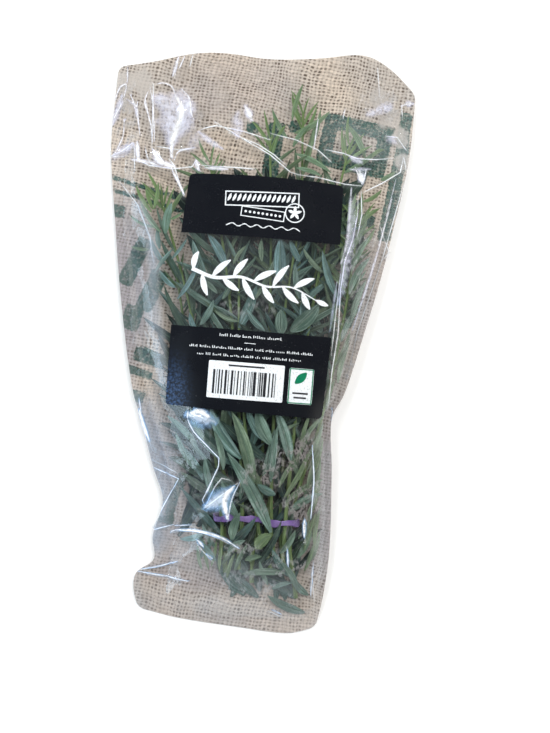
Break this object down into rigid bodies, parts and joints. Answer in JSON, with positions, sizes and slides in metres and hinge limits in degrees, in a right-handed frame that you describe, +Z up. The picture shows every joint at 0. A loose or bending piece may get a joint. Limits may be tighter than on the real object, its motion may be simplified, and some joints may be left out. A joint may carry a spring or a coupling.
{
  "type": "packed tarragon bunch",
  "caption": "Flat tapered sleeve of clear film on a printed back web, holding a banded bunch of fresh tarragon sprigs, with a label on the front.",
  "frame": {"origin": "middle of the sleeve's outline, on the surface that it lies on", "axes": "+X to the right of the label, +Y along the sleeve from its sealed foot to its mouth, +Z up from the surface, through the front web and the label"},
  "size_m": [0.1461, 0.2841, 0.0254],
  "materials": {
    "printed_film": "opaque film printed with a beige sacking weave and dark green stencil marks",
    "clear_film": "clear, glossy, crinkled packing film",
    "label": "satin near-black film label with a clear window and white print",
    "band": "flat purple rubber",
    "herb": "fresh grey-green leaf, paler at the stems and tips"
  },
  "bodies": {
    "root": {"back_film": "printed_film", "front_film": "clear_film", "label": "label", "rubber_band": "band", "sprig_01": "herb", "sprig_02": "herb", "sprig_03": "herb", "sprig_04": "herb", "sprig_05": "herb", "sprig_06": "herb", "sprig_07": "herb", "sprig_08": "herb", "sprig_09": "herb", "sprig_10": "herb", "sprig_11": "herb", "sprig_12": "herb"}
  },
  "joints": []
}
